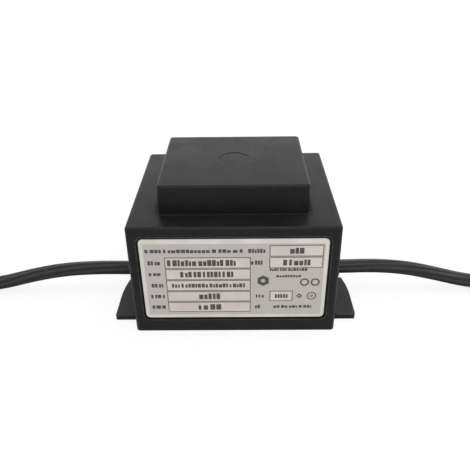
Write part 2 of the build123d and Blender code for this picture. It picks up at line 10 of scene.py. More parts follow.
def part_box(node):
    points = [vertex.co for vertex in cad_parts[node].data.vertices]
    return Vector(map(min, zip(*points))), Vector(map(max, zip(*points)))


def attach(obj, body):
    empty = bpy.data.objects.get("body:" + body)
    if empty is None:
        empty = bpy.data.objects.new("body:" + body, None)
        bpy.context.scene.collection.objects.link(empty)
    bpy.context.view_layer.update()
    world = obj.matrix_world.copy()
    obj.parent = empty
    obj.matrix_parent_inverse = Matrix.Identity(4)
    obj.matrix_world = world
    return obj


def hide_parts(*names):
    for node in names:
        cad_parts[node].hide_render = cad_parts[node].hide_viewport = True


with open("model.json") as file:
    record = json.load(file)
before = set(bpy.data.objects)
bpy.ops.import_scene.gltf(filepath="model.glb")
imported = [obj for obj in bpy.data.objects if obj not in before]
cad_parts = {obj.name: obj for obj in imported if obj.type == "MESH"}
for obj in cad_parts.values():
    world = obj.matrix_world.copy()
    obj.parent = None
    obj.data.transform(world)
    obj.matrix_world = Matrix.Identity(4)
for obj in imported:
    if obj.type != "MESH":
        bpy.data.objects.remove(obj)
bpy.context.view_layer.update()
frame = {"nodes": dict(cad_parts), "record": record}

# A resin-potted lamp transformer: a black moulded case, a silver rating label and two put-away rubber cords.
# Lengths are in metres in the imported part's frame. Texture sizes, and the rows, marks and signs on the label,
# are in millimetres.
scene = bpy.context.scene
BODY = "root"
MM = 0.001

# Camera, as fitted to the photograph's corners
CAMERA_PLACE = (0.00355, -0.2495, 0.18268)
CAMERA_TURN = math.radians(0.80)
CAMERA_PITCH = math.radians(-31.48)
CAMERA_ROLL = math.radians(0.81)
CAMERA_LENS = 41.0
SENSOR_WIDTH = 36.0
CLIP_START = 0.01
CLIP_END = 20.0

# Cords
CORD_DIAMETER = 0.0075
CORD_STEPS = 6
CORD_ROUNDNESS = 8

# Coils, with angles in degrees. A coil's turns lie on each other as the strands of a bundle.
COIL_TURNS = 3
COIL_MIDDLE_RADIUS = 0.0375
COIL_END_ANGLE = 130.0
COIL_STEP = 15.0
FIRST_STRAND_ANGLE = -30.0
CROSSOVER_START = 130.0
CROSSOVER_END = 200.0
TIE_THICKNESS = 0.0006

# Before its coil a cord turns the other way, and part of that turn is left after the free stretch
LEAD_IN_TURN = 50.0
LEAD_IN_REMAINING = 27.0
LAST_RUN = 0.017

# Free stretch of each cord: (outwards, across, height), as the part's source has it
INPUT_ROUTE = (
    (0.039, -0.0085, 0.0146),
    (0.056, -0.0085, 0.0146),
    (0.075, -0.0085, 0.0149),
    (0.094, -0.0085, 0.0137),
    (0.1125, -0.0085, 0.0099),
    (0.1305, -0.0088, 0.0049),
    (0.148, -0.0105, 0.00435),
)
OUTPUT_ROUTE = (
    (0.039, -0.0085, 0.0146),
    (0.057, -0.0085, 0.0146),
    (0.076, -0.0085, 0.0152),
    (0.094, -0.0085, 0.0135),
    (0.111, -0.0085, 0.0092),
    (0.128, -0.0088, 0.0047),
    (0.1455, -0.0105, 0.00435),
)

# Label: its face leans back by the housing's draft
DRAFT = math.radians(0.5)
POCKET_DEPTH = 0.0008
LABEL_THICKNESS = 0.0003
PRINT_THICKNESS = 0.0001
INK_THICKNESS = 0.00004
LABEL_DIVISIONS = 7
FIELD_GAP = 0.0012
RULE_WIDTH = 0.0005
LABEL_HEAD_BAND = 0.0008

# Printed ground on the label's film: its margin in millimetres, and how strongly it covers
LABEL_MARGIN = 1.7
GROUND_COVER = 0.9

# Fields: (start, end, row). Rows count from the top, and distances across are in millimetres from the
# label's left edge or, where negative, from its right edge.
FIELDS = (
    *((11.8, -36.6, row) for row in (1, 2, 3, 4, 5)),
    (-27.0, -2.8, 0),
    (-27.0, -2.8, 1),
    (-26.5, -16.2, 4),
)

# Rows of marks: (start, end, row, height in millimetres, mean width of a mark in millimetres, on a field)
MARK_ROWS = (
    (2.6, -39.6, 0.0, 1.9, 2.0, False),
    (3.4, 10.0, 1.0, 2.4, 1.5, False),
    (3.4, 9.8, 2.0, 1.6, 1.7, False),
    (4.2, 9.8, 3.0, 2.1, 1.4, False),
    (3.4, 10.0, 4.0, 2.1, 1.7, False),
    (3.4, 10.0, 5.0, 2.0, 2.2, False),
    (-37.4, -29.4, 0.0, 2.2, 1.5, False),
    (-36.0, -29.2, 1.0, 2.3, 1.4, False),
    (-27.2, -9.2, 1.62, 1.5, 1.3, False),
    (-24.0, -11.8, 2.2, 1.3, 1.2, False),
    (-33.6, -29.4, 4.0, 1.9, 1.2, False),
    (-34.0, -31.0, 5.0, 2.2, 1.2, False),
    (-25.0, -5.4, 5.0, 1.6, 1.5, False),
    (12.6, -43.2, 1.0, 3.4, 1.9, True),
    (18.4, -43.6, 2.0, 3.2, 1.7, True),
    (14.0, -38.8, 3.0, 2.3, 1.5, True),
    (26.8, -51.0, 4.0, 3.5, 2.3, True),
    (26.2, -50.4, 5.0, 3.4, 2.3, True),
    (-18.0, -10.6, 0.0, 3.2, 2.1, True),
    (-21.0, -8.2, 1.0, 3.2, 2.0, True),
    (-24.4, -18.2, 4.0, 2.2, 1.4, True),
)

# A mark's width and the gap after it are shares of its row's mean width, and its height of its row's height
MARK_WIDTHS = (0.55, 1.1)
MARK_HEIGHTS = (1.0, 1.0, 0.62)
MARK_GAPS = (0.16, 0.18, 0.24, 0.5)
MARK_SEED = 7

# Plain signs with a round hole: (distance across, row, radius, hole's radius, sides, turn)
ROUND_SIDES = 32
SIGNS = (
    (-30.2, 2.6, 3.1, 1.0, 6, math.pi / 6),
    (-10.4, 2.75, 2.2, 1.45, ROUND_SIDES, 0.0),
    (-5.3, 2.75, 2.2, 1.45, ROUND_SIDES, 0.0),
    (-12.6, 4.0, 1.5, 0.5, 4, 0.0),
    (-6.6, 4.0, 2.3, 1.8, ROUND_SIDES, 0.0),
    (-6.6, 4.0, 0.9, 0.3, 4, math.pi / 4),
)

# Most of a noise's values lie in its range, and its middle leaves out a few more
NOISE_RANGE = (0.3, 0.7)
NOISE_MIDDLE = (0.35, 0.65)

# Corners: how far round a spot is looked at, and its openness from where a mask starts to where it is full.
# A worn edge, whose paler colour is partly a painted highlight, breaks up into patches, and keeps at least this
# share of its wear.
CORNER_REACH = 0.003
CORNER_SAMPLES = 6
OUTER_CORNER = (0.72, 0.95)
# Inner corners get painted shade from where this mask starts.
INNER_CORNER = (0.92, 0.70)
WORN_PATCH_SIZE = 3.0
WORN_PATCH = (0.35, 0.6)
LEAST_WEAR = 0.35

# Dust: its specks lie in patches, and it settles on what faces up
DUST_PATCH_SIZE = 9.0
DUST_PATCH_START = 0.52
DUST_EDGE = 1.0
FACING_UP = (0.6, 0.95)
SETTLED_SIZE = 1.6
LEAST_SETTLED = 0.5

# Other surface effects
PEBBLE_SHARE = 0.6
HAIRLINES = (0.66, 0.72)
WANDER_SIZE = 25.0
GROOVE_SHARE = 0.12
DRAWN_STRETCH = (60.0, 1.0, 1.0)

# Moulded skins: how far the roughness strays from its plain value, and how strongly wear with its painted
# highlight and dust cover
SMOOTHEST = -0.06
ROUGHEST = 0.08
RUBBED_POLISH = 0.08
HOLLOW_DULLNESS = 0.45
WORN_HIGHLIGHT_COVER = 0.8
SPECK_COVER = 0.25

# Cord sheath: its clouds, and its underside, which is painted darker as shade and made duller, and which starts
# and is full where the surface faces up this far
SHEATH_CLOUD_REACH = (0.25, 0.6)
SHEATH_CLOUD = (0.5, 1.0)
SHEATH_ROUGHNESS = (0.38, 0.48)
SHEATH_GRAIN_SHARE = 0.04
SHEATH_SPECK_COVER = 0.3
UNDERSIDE = (0.25, -0.45)
UNDERSIDE_PAINTED_SHADE = 0.8
UNDERSIDE_DULLNESS = 0.4

# Resin, metals and film
PIN_HOLE_DEPTH = 0.3
RUST_PATCH = (0.58, 0.7)
MOST_RUST = 0.5
TARNISH_DULLNESS = 0.15
DRAWN_SHEEN = 0.05

# Floor, world and lamps. The floor turns from a shaded white near the object to the surround's white.
FLOOR_HALF = 4.0
FLOOR_WHITE = 1.06
FLOOR_SHOWN_WHITE = 0.8
SHADED_REACH = (0.35, 0.9)
AMBIENT = 0.5

# Soft lamps: (name, place, target, width, height, watts)
SOFTBOXES = (
    ("back_softbox", (0.0, 0.4, 0.11), (0, 0, 0.11), 0.5, 0.2, 0.42),
    ("left_softbox", (-0.8, 0.2, 0.35), (0, 0, 0.02), 0.4, 0.4, 1.4),
    ("right_softbox", (0.8, 0.3, 0.4), (0, 0, 0.02), 0.4, 0.4, 2.6),
    ("top_softbox", (0.1, -0.1, 1.1), (0, 0, 0.03), 0.7, 0.7, 4.2),
    ("front_softbox", (0.25, -0.9, 0.5), (0, 0, 0.03), 0.6, 0.6, 2.4),
)

cord_radius = CORD_DIAMETER / 2
strand_low = cord_radius + TIE_THICKNESS
outer_turn = COIL_MIDDLE_RADIUS + cord_radius
# The coil's strands lie at the corners of a triangle, two of them low and one on top
bundle_radius = CORD_DIAMETER / math.sqrt(3)
bundle_height = strand_low + bundle_radius / 2

film_low, film_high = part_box("rating_label")
label_left, label_right = film_low.x, film_high.x
label_foot, label_top = film_low.z, film_high.z
row_pitch = (label_top - label_foot) / LABEL_DIVISIONS
field_height = row_pitch - FIELD_GAP
on_film = LABEL_THICKNESS - POCKET_DEPTH
on_field = on_film + PRINT_THICKNESS


def show(made):
    """Links a new object into the scene."""
    scene.collection.objects.link(made)
    return made


# Camera


def make_camera():
    """The photograph's camera, turned, pitched and rolled from a level look along +Y."""
    data = bpy.data.cameras.new("camera")
    data.sensor_width = SENSOR_WIDTH
    data.lens = CAMERA_LENS
    data.clip_start = CLIP_START
    data.clip_end = CLIP_END
    made = show(bpy.data.objects.new("camera", data))
    made.location = CAMERA_PLACE
    looking_level = Matrix.Rotation(math.radians(90), 3, "X")
    turned = Matrix.Rotation(CAMERA_TURN, 3, "Z") @ Matrix.Rotation(CAMERA_PITCH, 3, "X")
    made.rotation_euler = (turned @ Matrix.Rotation(CAMERA_ROLL, 3, "Y") @ looking_level).to_euler()
    return made


scene.camera = make_camera()

# Cords


def polar(centre, radius, degrees):
    """A point at this radius and angle round a centre, in the plan."""
    turn = math.radians(degrees)
    return (centre[0] + radius * math.cos(turn), centre[1] + radius * math.sin(turn))


def strand_place(angle):
    """Radius and height of the cord at this angle of its coil, where it changes strand after each turn."""
    sector = CROSSOVER_END - CROSSOVER_START
    strand_angle = FIRST_STRAND_ANGLE
    lowered = 0.0
    for turn in range(1, COIL_TURNS):
        share = min(max((angle - 360.0 * turn - CROSSOVER_START) / sector, 0.0), 1.0)
        strand_angle += 360.0 / COIL_TURNS * share
        lowered += bundle_radius * math.sin(math.pi * share) ** 2
    radius = COIL_MIDDLE_RADIUS + bundle_radius * math.cos(math.radians(strand_angle))
    height = bundle_height + bundle_radius * math.sin(math.radians(strand_angle)) - lowered
    return radius, height


def cord_points(side, route):
    """Control points of a whole cord: its free stretch, its way into the coil and the coil's turns."""
    heading = LEAD_IN_REMAINING - LEAD_IN_TURN
    joining = 90.0 - LEAD_IN_TURN
    arc_start = polar(route[-1], LAST_RUN, heading)
    arc_centre = polar(arc_start, outer_turn, heading - 90.0)
    arc_corner = polar(arc_start, outer_turn * math.tan(math.radians(LEAD_IN_REMAINING / 2)), heading)
    coil_entry = polar(arc_centre, outer_turn, joining)
    coil_centre = polar(coil_entry, outer_turn, joining)
    points = [*route, (*arc_corner, strand_low)]
    start = joining + 180.0
    end = COIL_TURNS * 360.0 + COIL_END_ANGLE
    # The control points of a round turn lie this much further out than the turn
    outside = 1 / math.cos(math.radians(COIL_STEP / 2))
    for step in range(round((end - start) / COIL_STEP)):
        angle = start + (step + 0.5) * COIL_STEP
        radius, height = strand_place(angle)
        points.append((*polar(coil_centre, radius * outside, angle), height))
    radius, height = strand_place(end)
    points.append((*polar(coil_centre, radius, end), height))
    return [(side * outwards, across, height) for outwards, across, height in points]


def make_cord(name, side, route):
    """A round cord as one smooth curve along its control points, whose radius is on the points."""
    points = cord_points(side, route)
    curve = bpy.data.curves.new(name, "CURVE")
    curve.dimensions = "3D"
    curve.resolution_u = CORD_STEPS
    curve.bevel_depth = 1.0
    curve.bevel_resolution = CORD_ROUNDNESS
    curve.use_fill_caps = True
    spline = curve.splines.new("NURBS")
    spline.points.add(len(points) - 1)
    for point, spot in zip(spline.points, points):
        point.co = (*spot, 1.0)
        point.radius = cord_radius
    spline.order_u = 3
    spline.use_endpoint_u = True
    return show(bpy.data.objects.new(name, curve))


cords = []
for side_name, side, route in (("input", -1, INPUT_ROUTE), ("output", 1, OUTPUT_ROUTE)):
    cord = make_cord(f"{side_name}_rubber_cord", side, route)
    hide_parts(f"{side_name}_cord", f"{side_name}_cord_coil")
    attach(cord, BODY)
    cords.append(cord)

# Label print: every mark is a thin plate of ink on the film or on a field


def across_label(distance):
    """The place across the label of a distance from its left edge or, where negative, from its right edge."""
    return label_left + distance * MM if distance > 0 else label_right + distance * MM


def row_middle(row):
    """The height of a row's middle up the label."""
    return label_top - (row + 1) * row_pitch


def plate(mesh, outline, holes, back):
    """Adds a flat plate of ink with this outline, and holes in it, to a mesh in the label's own plane."""
    loops = [outline, *holes]
    front_edges = []
    for loop in loops:
        low = [mesh.verts.new((x, z, back)) for x, z in loop]
        high = [mesh.verts.new((x, z, back + INK_THICKNESS)) for x, z in loop]
        for index in range(len(loop)):
            after = (index + 1) % len(loop)
            mesh.faces.new((low[index], low[after], high[after], high[index]))
            front_edges.append(mesh.edges.get((high[index], high[after])))
    bmesh.ops.triangle_fill(mesh, use_beauty=True, edges=front_edges)


def rectangle(left, right, low, high):
    """The corners of a rectangle."""
    return [(left, low), (right, low), (right, high), (left, high)]


def ring(x, z, radius, sides, turn=0.0):
    """The corners of a round or many-sided outline."""
    angles = [2 * math.pi * side / sides + turn for side in range(sides)]
    return [(x + radius * math.cos(angle), z + radius * math.sin(angle)) for angle in angles]


def marks_in(mesh, start, end, row, height, width, back, dice):
    """A line of short uneven plates, as plain as a row of dashes."""
    left, stop = across_label(start), across_label(end)
    middle, half = row_middle(row), height * MM / 2
    mean = width * MM
    while left < stop - mean / 2:
        right = min(left + mean * dice.uniform(*MARK_WIDTHS), stop)
        top = middle + half * dice.choice(MARK_HEIGHTS)
        plate(mesh, rectangle(left, right, middle - half, top), [], back)
        left = right + mean * dice.choice(MARK_GAPS)


def print_piece(name, mesh, replaced):
    """A finished piece of print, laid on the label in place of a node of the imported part."""
    base_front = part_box("housing")[0].y
    label_face = Matrix(
        (
            (1, 0, 0, 0),
            (0, math.sin(DRAFT), -math.cos(DRAFT), base_front),
            (0, math.cos(DRAFT), math.sin(DRAFT), 0),
            (0, 0, 0, 1),
        )
    )
    mesh.transform(label_face)
    bmesh.ops.recalc_face_normals(mesh, faces=mesh.faces)
    data = bpy.data.meshes.new(name)
    mesh.to_mesh(data)
    mesh.free()
    made = show(bpy.data.objects.new(name, data))
    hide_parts(replaced)
    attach(made, BODY)
    return made


def make_label_rules():
    """A rule round each field."""
    mesh = bmesh.new()
    for start, end, row in FIELDS:
        left, right = across_label(start), across_label(end)
        low, high = row_middle(row) - field_height / 2, row_middle(row) + field_height / 2
        outside = rectangle(left - RULE_WIDTH, right + RULE_WIDTH, low - RULE_WIDTH, high + RULE_WIDTH)
        plate(mesh, outside, [rectangle(left, right, low, high)], on_film)
    return print_piece("label_rules", mesh, "label_print")


def make_label_marks():
    """Rows of dashes and a few plain signs."""
    mesh = bmesh.new()
    dice = random.Random(MARK_SEED)
    for start, end, row, height, width, in_field in MARK_ROWS:
        marks_in(mesh, start, end, row, height, width, on_field if in_field else on_film, dice)
    for distance, row, radius, hole, sides, turn in SIGNS:
        middle = (across_label(distance), row_middle(row))
        plate(mesh, ring(*middle, radius * MM, sides, turn), [ring(*middle, hole * MM, ROUND_SIDES)], on_film)
    return print_piece("label_marks", mesh, "label_values")


label_rules = make_label_rules()
label_marks = make_label_marks()

# Shader nodes


def join(tree, socket, value):
    """Sets an input to a value, or links it to another node's output."""
    if isinstance(value, bpy.types.NodeSocket):
        tree.links.new(value, socket)
    else:
        socket.default_value = value


def node(tree, kind, settings=None, **inputs):
    """A shader node with its settings, and each input set to a value or joined to another node's output."""
    made = tree.nodes.new("ShaderNode" + kind)
    for name, value in (settings or {}).items():
        setattr(made, name, value)
    for name, value in inputs.items():
        join(tree, made.inputs[name.replace("_", " ")], value)
    return made


def calculate(tree, operation, *values, clamp=False):
    """The output of a Math node."""
    made = tree.nodes.new("ShaderNodeMath")
    made.operation = operation
    made.use_clamp = clamp
    for socket, value in zip(made.inputs, values):
        join(tree, socket, value)
    return made.outputs[0]


def multiply(tree, first, second):
    """One value times another."""
    return calculate(tree, "MULTIPLY", first, second)


def vector_math(tree, operation, *vectors, **inputs):
    """A Vector Math node."""
    made = node(tree, "VectorMath", {"operation": operation}, **inputs)
    for socket, vector in zip(made.inputs, vectors):
        join(tree, socket, vector)
    return made


def split(tree, vector):
    """The X, Y and Z of a vector."""
    return node(tree, "SeparateXYZ", Vector=vector).outputs


def remap(tree, value, low, high, new_low=0.0, new_high=1.0):
    """A value taken from one range to another and held inside it."""
    made = tree.nodes.new("ShaderNodeMapRange")
    for socket, number in zip(made.inputs, (value, low, high, new_low, new_high)):
        join(tree, socket, number)
    return made.outputs[0]


def spread(tree, uneven, new_low=0.0, new_high=1.0, reach=NOISE_RANGE):
    """A noise spread between two values, which it comes to at the ends of its reach."""
    return remap(tree, uneven, *reach, new_low, new_high)


def blend_colours(tree, share, first, second):
    """The first colour where the share is 0, and the second where it is 1."""
    made = tree.nodes.new("ShaderNodeMix")
    made.data_type = "RGBA"
    # A Mix node has sockets for each kind of value, and these are the ones for colours
    for index, value in ((0, share), (6, first), (7, second)):
        join(tree, made.inputs[index], value)
    return made.outputs[2]


def group(name, inputs, outputs):
    """A new shader node group: (its tree, what it is given by name, what it puts out by name)."""
    tree = bpy.data.node_groups.new(name, "ShaderNodeTree")
    for label, value in inputs.items():
        socket = tree.interface.new_socket(name=label, in_out="INPUT", socket_type="NodeSocketFloat")
        socket.default_value = value
    for label, kind in outputs.items():
        tree.interface.new_socket(name=label, in_out="OUTPUT", socket_type="NodeSocket" + kind)
    return tree, tree.nodes.new("NodeGroupInput").outputs, tree.nodes.new("NodeGroupOutput").inputs


def use_group(tree, made, **inputs):
    """Puts a node group into a material or another group, with values of its own, and returns its outputs."""
    used = tree.nodes.new("ShaderNodeGroup")
    used.node_tree = made
    for name, value in inputs.items():
        join(tree, used.inputs[name.replace("_", " ")], value)
    return used.outputs


# Shader node groups


def make_millimetres():
    """Places on the object in millimetres."""
    tree, _, ready = group("millimetres", {}, {"Place": "Vector"})
    spot = node(tree, "TexCoord").outputs["Object"]
    join(tree, ready["Place"], vector_math(tree, "SCALE", spot, Scale=1 / MM).outputs[0])
    return tree


millimetres = make_millimetres()


def noise(tree, size, detail=2.0, stretch=(1.0, 1.0, 1.0)):
    """A noise whose blotches are about this many millimetres wide, stretched along the axes."""
    spot = use_group(tree, millimetres)["Place"]
    stretched = vector_math(tree, "DIVIDE", spot, stretch).outputs[0]
    scale = calculate(tree, "DIVIDE", 1.0, size)
    return node(tree, "TexNoise", Vector=stretched, Scale=scale, Detail=detail).outputs[0]


def make_moulded_grain():
    """The fine pebbled skin that a spark-eroded mould leaves, its mottle, and slow changes of its shine."""
    sizes = {"Grain Size": 0.4, "Mottle Size": 1.3, "Cloud Size": 14.0}
    puts_out = {"Height": "Float", "Mottle": "Float", "Cloud": "Float"}
    tree, given, ready = group("moulded_grain", sizes, puts_out)
    spot = use_group(tree, millimetres)["Place"]
    scale = calculate(tree, "DIVIDE", 1.0, given["Grain Size"])
    cells = node(tree, "TexVoronoi", {"feature": "SMOOTH_F1"}, Vector=spot, Scale=scale)
    pebbles = multiply(tree, cells.outputs["Distance"], PEBBLE_SHARE)
    fine = noise(tree, given["Grain Size"], detail=3.0)
    mottle = noise(tree, given["Mottle Size"], detail=3.0)
    join(tree, ready["Height"], calculate(tree, "ADD", pebbles, fine))
    join(tree, ready["Mottle"], spread(tree, mottle, reach=NOISE_MIDDLE))
    join(tree, ready["Cloud"], noise(tree, given["Cloud Size"]))
    return tree


def make_corners():
    """Masks of outer corners, which handling rubs smooth and which carry a painted highlight, and of inner
    ones, which get painted shade and stay dull.
    """
    masks = {"Worn And Highlit": "Float", "Painted Corner Shade": "Float"}
    tree, given, ready = group("corners", {"Width": 1.2, "Gain": 10.0}, masks)
    radius = multiply(tree, given["Width"], MM)
    rounded = node(tree, "Bevel", {"samples": CORNER_SAMPLES}, Radius=radius).outputs[0]
    flat = node(tree, "NewGeometry").outputs["Normal"]
    facing = vector_math(tree, "DOT_PRODUCT", rounded, flat).outputs["Value"]
    turned_away = calculate(tree, "SUBTRACT", 1.0, facing)
    strength = calculate(tree, "MULTIPLY", turned_away, given["Gain"], clamp=True)
    broken = spread(tree, noise(tree, WORN_PATCH_SIZE, detail=3.0), LEAST_WEAR, 1.0, reach=WORN_PATCH)
    settings = {"samples": CORNER_SAMPLES, "only_local": True}
    openness = node(tree, "AmbientOcclusion", settings, Distance=CORNER_REACH).outputs["AO"]
    outer = remap(tree, openness, *OUTER_CORNER)
    join(tree, ready["Worn And Highlit"], multiply(tree, multiply(tree, strength, broken), outer))
    join(tree, ready["Painted Corner Shade"], remap(tree, openness, *INNER_CORNER))
    return tree


def make_dust():
    """A mask of sparse specks, in patches."""
    tree, given, ready = group("dust", {"Spacing": 2.5, "Speck Size": 0.05}, {"Mask": "Float"})
    spot = use_group(tree, millimetres)["Place"]
    scale = calculate(tree, "DIVIDE", 1.0, given["Spacing"])
    cells = node(tree, "TexVoronoi", Vector=spot, Scale=scale, Randomness=1.0)
    inside = calculate(tree, "LESS_THAN", cells.outputs["Distance"], given["Speck Size"])
    patches = calculate(tree, "GREATER_THAN", noise(tree, DUST_PATCH_SIZE, detail=1.0), DUST_PATCH_START)
    join(tree, ready["Mask"], multiply(tree, inside, patches))
    return tree


def make_settled_dust():
    """A mask of the thin dust that stays on faces turned up, below a top in millimetres."""
    tree, given, ready = group("settled_dust", {"Top": 5.0}, {"Mask": "Float"})
    height = split(tree, use_group(tree, millimetres)["Place"])["Z"]
    low = remap(tree, height, given["Top"], calculate(tree, "SUBTRACT", given["Top"], DUST_EDGE))
    upward = split(tree, node(tree, "NewGeometry").outputs["Normal"])["Z"]
    facing_up = remap(tree, upward, *FACING_UP)
    uneven = spread(tree, noise(tree, SETTLED_SIZE, detail=3.0), LEAST_SETTLED, 1.0)
    join(tree, ready["Mask"], multiply(tree, multiply(tree, low, facing_up), uneven))
    return tree


def make_fine_scratches():
    """Hairlines in one direction, few and faint."""
    tree, given, ready = group("fine_scratches", {"Length": 9.0, "Width": 0.12}, {"Mask": "Float"})
    stretch = node(tree, "CombineXYZ", X=given["Length"], Y=given["Width"], Z=given["Length"]).outputs[0]
    lines = noise(tree, size=1.0, stretch=stretch)
    join(tree, ready["Mask"], remap(tree, lines, *HAIRLINES))
    return tree


def make_extruded_lines():
    """Shallow lines that a die leaves along a cord, twisting slowly, by the curve's own coordinates."""
    amounts = {"Lines": 9.0, "Wander": 0.1, "Twist": 2.5}
    tree, given, ready = group("extruded_lines", amounts, {"Height": "Float"})
    along_and_round = split(tree, node(tree, "TexCoord").outputs["UV"])
    twist = multiply(tree, along_and_round["X"], given["Twist"])
    twisted = calculate(tree, "ADD", along_and_round["Y"], twist)
    wander = multiply(tree, noise(tree, WANDER_SIZE, detail=1.0), given["Wander"])
    swayed = calculate(tree, "ADD", multiply(tree, twisted, given["Lines"]), wander)
    wave = calculate(tree, "SINE", multiply(tree, swayed, 2 * math.pi))
    join(tree, ready["Height"], remap(tree, wave, -1.0, 1.0))
    return tree


def shade_of_each(tree, count):
    """A random value for each whole number that the count reaches."""
    number = calculate(tree, "FLOOR", count)
    return node(tree, "TexWhiteNoise", {"noise_dimensions": "1D"}, W=number).outputs["Value"]


def make_sheet_edges():
    """Edges of stacked sheets: a groove between each two, and a shade of its own for each sheet."""
    tree, given, ready = group("sheet_edges", {"Sheet": 0.5}, {"Height": "Float", "Shade": "Float"})
    height = split(tree, use_group(tree, millimetres)["Place"])["Z"]
    count = calculate(tree, "DIVIDE", height, given["Sheet"])
    from_groove = calculate(tree, "PINGPONG", calculate(tree, "FRACT", count), 0.5)
    join(tree, ready["Height"], remap(tree, from_groove, 0.0, GROOVE_SHARE))
    join(tree, ready["Shade"], shade_of_each(tree, count))
    return tree


def make_wound_turns():
    """Round turns of wire or tape side by side along Y."""
    tree, given, ready = group("wound_turns", {"Pitch": 0.5}, {"Height": "Float", "Shade": "Float"})
    across = split(tree, use_group(tree, millimetres)["Place"])["Y"]
    count = calculate(tree, "DIVIDE", across, given["Pitch"])
    off_middle = calculate(tree, "SUBTRACT", multiply(tree, calculate(tree, "FRACT", count), 2.0), 1.0)
    fallen = multiply(tree, off_middle, off_middle)
    bulge = calculate(tree, "SQRT", calculate(tree, "SUBTRACT", 1.0, fallen, clamp=True))
    join(tree, ready["Height"], bulge)
    join(tree, ready["Shade"], shade_of_each(tree, count))
    return tree


def make_inside_margin():
    """A mask of the label's middle, inside a plain margin that is wider at its head."""
    tree, given, ready = group("inside_margin", {"Margin": 1.5, "Softness": 0.15}, {"Mask": "Float"})
    spot = split(tree, use_group(tree, millimetres)["Place"])
    depths = []
    for axis, low, high in (("X", label_left, label_right), ("Z", label_foot, label_top - LABEL_HEAD_BAND)):
        off_middle = calculate(tree, "SUBTRACT", spot[axis], (low + high) / 2 / MM)
        from_middle = calculate(tree, "ABSOLUTE", off_middle)
        depths.append(calculate(tree, "SUBTRACT", (high - low) / 2 / MM, from_middle))
    depth = calculate(tree, "SUBTRACT", calculate(tree, "MINIMUM", *depths), given["Margin"])
    join(tree, ready["Mask"], remap(tree, depth, 0.0, given["Softness"]))
    return tree


def make_drawn_film():
    """The faint lengthwise drawing of a metallised film, and slow changes of its tone."""
    sizes = {"Line": 0.15, "Cloud Size": 11.0}
    tree, given, ready = group("drawn_film", sizes, {"Height": "Float", "Cloud": "Float"})
    join(tree, ready["Height"], noise(tree, given["Line"], stretch=DRAWN_STRETCH))
    join(tree, ready["Cloud"], noise(tree, given["Cloud Size"], detail=3.0))
    return tree


moulded_grain = make_moulded_grain()
corners = make_corners()
dust = make_dust()
settled_dust = make_settled_dust()
fine_scratches = make_fine_scratches()
extruded_lines = make_extruded_lines()
sheet_edges = make_sheet_edges()
wound_turns = make_wound_turns()
drawn_film = make_drawn_film()
inside_margin = make_inside_margin()

# Materials


def colour(red, green, blue):
    """A solid colour."""
    return (red, green, blue, 1.0)


def grey(value):
    """A solid colour without a hue."""
    return colour(value, value, value)


DUST_COLOUR = colour(0.29, 0.284, 0.278)


def material(name, **constants):
    """A new material with these numbers set on its shader: (the material, its tree, the shader's inputs)."""
    made = bpy.data.materials.new(name)
    made.use_nodes = True
    shader = made.node_tree.nodes["Principled BSDF"]
    for label, value in constants.items():
        shader.inputs[label.replace("_", " ")].default_value = value
    return made, made.node_tree, shader.inputs


def roughen(tree, shader, uneven, smooth, rough, reach=NOISE_RANGE):
    """Lets a surface's roughness vary between two values."""
    join(tree, shader["Roughness"], spread(tree, uneven, smooth, rough, reach))


def emboss(tree, shader, height, depth):
    """Raises a surface by a height, where a full change of height is this many millimetres deep."""
    relief = node(tree, "Bump", Height=height, Distance=depth * MM, Strength=1.0)
    join(tree, shader["Normal"], relief.outputs[0])


def moulded(name, dark, light, roughness, grain=0.4, depth=0.012, worn_edge_highlight=None, dusty=0.0, **constants):
    """A moulded plastic or rubber: grained, a little cloudy, darker in its inner corners with painted shade,
    and paler and smoother on its worn edges, where the paleness is wear and a painted highlight.
    """
    made, tree, shader = material(name, **constants)
    skin = use_group(tree, moulded_grain, Grain_Size=grain)
    wear = use_group(tree, corners)
    worn_and_highlit, painted_corner_shade = wear["Worn And Highlit"], wear["Painted Corner Shade"]
    cloud = spread(tree, skin["Cloud"], reach=NOISE_MIDDLE)
    uneven = calculate(tree, "DIVIDE", calculate(tree, "ADD", cloud, skin["Mottle"]), 2.0)
    # Inner corners are painted darker: painted shade.
    unevenness_with_painted_shade = multiply(tree, uneven, calculate(tree, "SUBTRACT", 1.0, painted_corner_shade))
    body = blend_colours(tree, unevenness_with_painted_shade, dark, light)
    # Worn edges are painted paler: wear and a painted highlight.
    edged = blend_colours(tree, multiply(tree, worn_and_highlit, WORN_HIGHLIGHT_COVER), body, worn_edge_highlight or light)
    dusted = multiply(tree, use_group(tree, dust)["Mask"], SPECK_COVER)
    if dusty:
        settled = multiply(tree, use_group(tree, settled_dust)["Mask"], dusty)
        dusted = calculate(tree, "MAXIMUM", dusted, settled)
    join(tree, shader["Base Color"], blend_colours(tree, dusted, edged, DUST_COLOUR))
    cloudy = remap(tree, uneven, 0.0, 1.0, roughness + SMOOTHEST, roughness + ROUGHEST)
    polished = calculate(tree, "SUBTRACT", cloudy, multiply(tree, worn_and_highlit, RUBBED_POLISH))
    dulled = calculate(tree, "ADD", polished, multiply(tree, painted_corner_shade, HOLLOW_DULLNESS), clamp=True)
    join(tree, shader["Roughness"], dulled)
    emboss(tree, shader, skin["Height"], depth)
    return made


def make_housing_plastic():
    """The case's very black satin plastic, with worn corners that carry a painted highlight, painted shade in
    its inner corners, and a little dust on its flanges.
    """
    return moulded(
        "housing_plastic",
        colour(0.0060, 0.0057, 0.0059),
        colour(0.0120, 0.0114, 0.0118),
        roughness=0.46,
        grain=0.4,
        depth=0.016,
        # A painted highlight, with wear, along the worn edges.
        worn_edge_highlight=colour(0.085, 0.083, 0.083),
        dusty=0.12,
        Specular_IOR_Level=0.15,
    )


